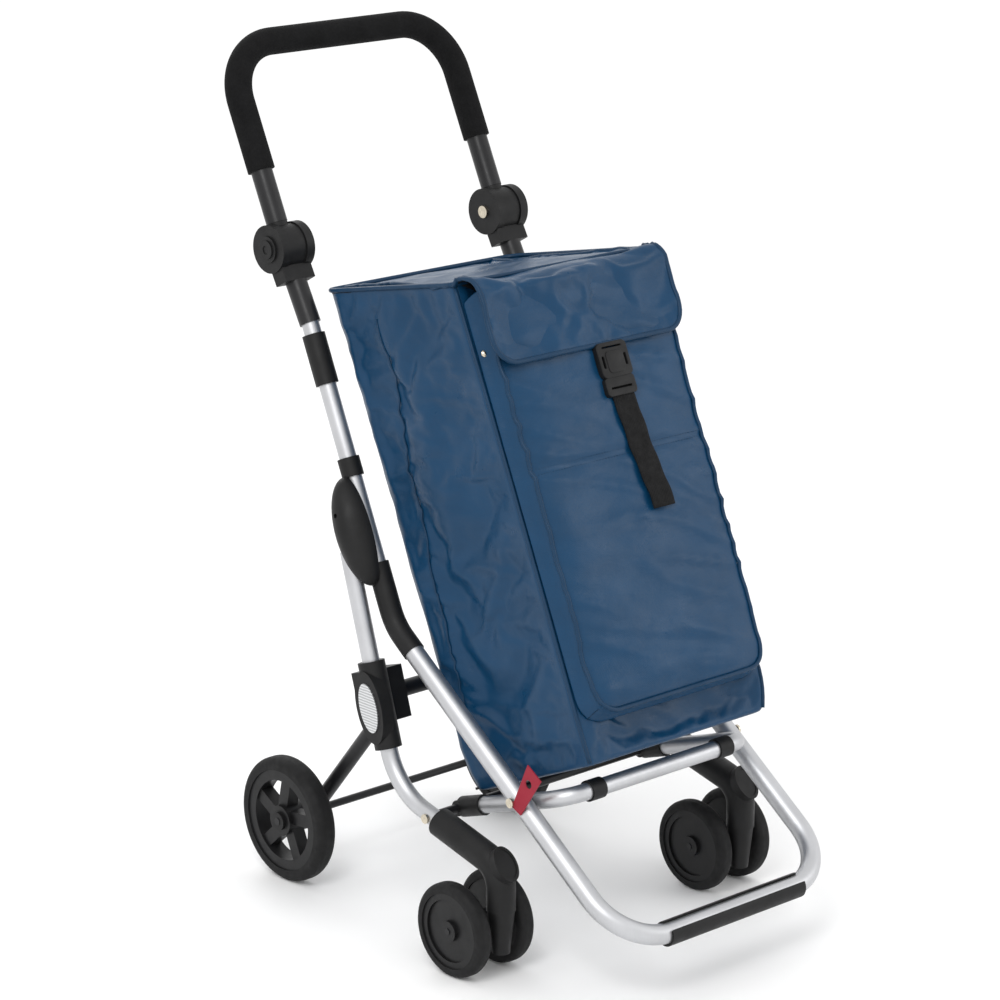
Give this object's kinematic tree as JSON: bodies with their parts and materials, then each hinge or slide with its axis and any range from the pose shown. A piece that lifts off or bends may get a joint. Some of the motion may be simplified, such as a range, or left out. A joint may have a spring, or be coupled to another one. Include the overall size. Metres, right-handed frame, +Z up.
{
  "type": "folding shopping trolley",
  "caption": "Folding shopping trolley: raked tube frame with a fabric bag, hinged handle, swivel casters in front and fixed wheels behind.",
  "frame": {"origin": "on the floor under the middle of the trolley's overall box", "axes": "+Z up, -Y the trolley's front, +X its left-to-right width"},
  "size_m": [0.5072, 0.7548, 1.0827],
  "materials": {
    "black_tube": "satin black powder coat",
    "foam": "matte closed-cell foam",
    "black_plastic": "moulded, fine grain",
    "satin_aluminium": "satin anodised",
    "tyre": "matte",
    "hub_plastic": "satin moulded",
    "plated_steel": "zinc plated",
    "black_steel": "black powder coat",
    "badge": "satin, plain pattern",
    "tag_red": "woven tab",
    "bag_cloth": "satin woven nylon",
    "board": "plain",
    "webbing": "ribbed webbing"
  },
  "bodies": {
    "chassis": {"bag_body": "bag_cloth", "base_board": "board", "bracket_badges": "badge", "buckle_plug": "black_plastic", "caster_housing_left": "black_plastic", "caster_housing_right": "black_plastic", "cross_bar": "black_steel", "frame_collars": "black_plastic", "frame_elbow_left": "black_plastic", "frame_elbow_right": "black_plastic", "frame_knobs": "black_plastic", "frame_screws": "plated_steel", "frame_tube_left": "satin_aluminium", "frame_tube_right": "satin_aluminium", "front_loop": "satin_aluminium", "front_pocket": "bag_cloth", "handle_socket_left": "black_tube", "handle_socket_right": "black_tube", "hinge_fork_left": "black_plastic", "hinge_fork_right": "black_plastic", "leg_bracket_left": "black_plastic", "leg_bracket_right": "black_plastic", "leg_tube_left": "satin_aluminium", "leg_tube_right": "satin_aluminium", "loop_bumper": "black_plastic", "pivot_bolts": "plated_steel", "shelf_clips": "black_plastic", "shelf_tag": "tag_red", "shelf_tube": "satin_aluminium", "strap": "webbing"},
    "handle": {"handle_tube": "black_tube", "foam_grip": "foam", "hinge_knuckle_left": "black_plastic", "hinge_knuckle_right": "black_plastic"},
    "button_left": {"hinge_button_left": "black_plastic"},
    "button_right": {"hinge_button_right": "black_plastic"},
    "flap": {"bag_flap": "bag_cloth", "buckle_socket": "black_plastic"},
    "rear_leg": {"rear_leg": "black_steel", "rear_axle": "black_steel", "axle_caps": "black_plastic"},
    "rear_wheel_left": {"rear_tyre_left": "tyre", "rear_hub_left": "hub_plastic"},
    "rear_wheel_right": {"rear_tyre_right": "tyre", "rear_hub_right": "hub_plastic"},
    "caster_left": {"caster_fork_left": "black_plastic", "caster_axle_left": "black_steel"},
    "caster_wheel_left_inner": {"caster_tyre_left_inner": "tyre", "caster_hub_left_inner": "hub_plastic"},
    "caster_wheel_left_outer": {"caster_tyre_left_outer": "tyre", "caster_hub_left_outer": "hub_plastic"},
    "caster_right": {"caster_fork_right": "black_plastic", "caster_axle_right": "black_steel"},
    "caster_wheel_right_inner": {"caster_tyre_right_inner": "tyre", "caster_hub_right_inner": "hub_plastic"},
    "caster_wheel_right_outer": {"caster_tyre_right_outer": "tyre", "caster_hub_right_outer": "hub_plastic"}
  },
  "joints": [
    {"name": "handle_fold", "type": "hinge", "parent": "chassis", "child": "handle", "pos_m": [0, 0.25, 0.83], "axis": [-1, 0, 0], "range_deg": [0, 125]},
    {"name": "flap_open", "type": "hinge", "parent": "chassis", "child": "flap", "pos_m": [0, 0.20475, 0.77951], "axis": [-1, 0, 0], "range_deg": [0, 100]},
    {"name": "rear_leg_fold", "type": "hinge", "parent": "chassis", "child": "rear_leg", "pos_m": [0, 0.068, 0.294], "axis": [-1, 0, 0], "range_deg": [0, 48]},
    {"name": "hinge_button_left_press", "type": "slide", "parent": "chassis", "child": "button_left", "axis": [1, 0, 0], "range_m": [0, 0.004], "stiffness_N_per_m": 800, "springref_m": -0.003},
    {"name": "rear_wheel_left_spin", "type": "hinge", "parent": "rear_leg", "child": "rear_wheel_left", "pos_m": [0, 0.246, 0.0825], "axis": [1, 0, 0], "continuous": true},
    {"name": "caster_left_swivel", "type": "hinge", "parent": "chassis", "child": "caster_left", "pos_m": [-0.207, -0.177, 0.06], "axis": [0, 0, 1], "continuous": true},
    {"name": "caster_wheel_left_inner_spin", "type": "hinge", "parent": "caster_left", "child": "caster_wheel_left_inner", "pos_m": [-0.207, -0.1315, 0.0592], "axis": [1, 0, 0], "continuous": true},
    {"name": "caster_wheel_left_outer_spin", "type": "hinge", "parent": "caster_left", "child": "caster_wheel_left_outer", "pos_m": [-0.207, -0.1315, 0.0592], "axis": [1, 0, 0], "continuous": true},
    {"name": "hinge_button_right_press", "type": "slide", "parent": "chassis", "child": "button_right", "axis": [-1, 0, 0], "range_m": [0, 0.004], "stiffness_N_per_m": 800, "springref_m": -0.003},
    {"name": "rear_wheel_right_spin", "type": "hinge", "parent": "rear_leg", "child": "rear_wheel_right", "pos_m": [0, 0.246, 0.0825], "axis": [1, 0, 0], "continuous": true},
    {"name": "caster_right_swivel", "type": "hinge", "parent": "chassis", "child": "caster_right", "pos_m": [0.207, -0.177, 0.06], "axis": [0, 0, 1], "continuous": true},
    {"name": "caster_wheel_right_inner_spin", "type": "hinge", "parent": "caster_right", "child": "caster_wheel_right_inner", "pos_m": [0.207, -0.1315, 0.0592], "axis": [1, 0, 0], "continuous": true},
    {"name": "caster_wheel_right_outer_spin", "type": "hinge", "parent": "caster_right", "child": "caster_wheel_right_outer", "pos_m": [0.207, -0.1315, 0.0592], "axis": [1, 0, 0], "continuous": true}
  ]
}
